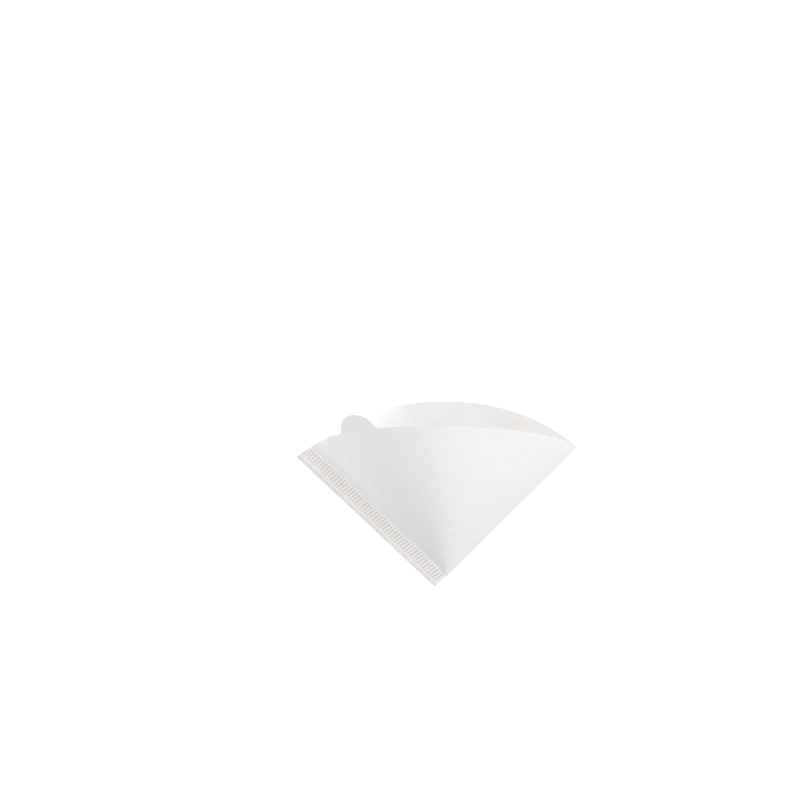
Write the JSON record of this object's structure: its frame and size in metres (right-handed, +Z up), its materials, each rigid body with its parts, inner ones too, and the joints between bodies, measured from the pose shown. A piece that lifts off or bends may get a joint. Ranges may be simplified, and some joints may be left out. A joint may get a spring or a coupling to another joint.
{
  "type": "paper coffee filter",
  "caption": "Cone paper filter for a coffee dripper: a folded quarter-round sheet with one crimped edge and a round finger tab, lying part open.",
  "frame": {"origin": "centre of the bounding box in X and Y, on the plane that the filter lies on", "axes": "+X from the crimped seam's side to the folded edge's side, +Y from the tip to the open rim, +Z up from the back panel to the front panel"},
  "size_m": [0.1572, 0.106, 0.0378],
  "materials": {
    "paper": "matt, finely fibrous, slightly translucent"
  },
  "bodies": {
    "root": {"filter_paper": "paper"}
  },
  "joints": []
}
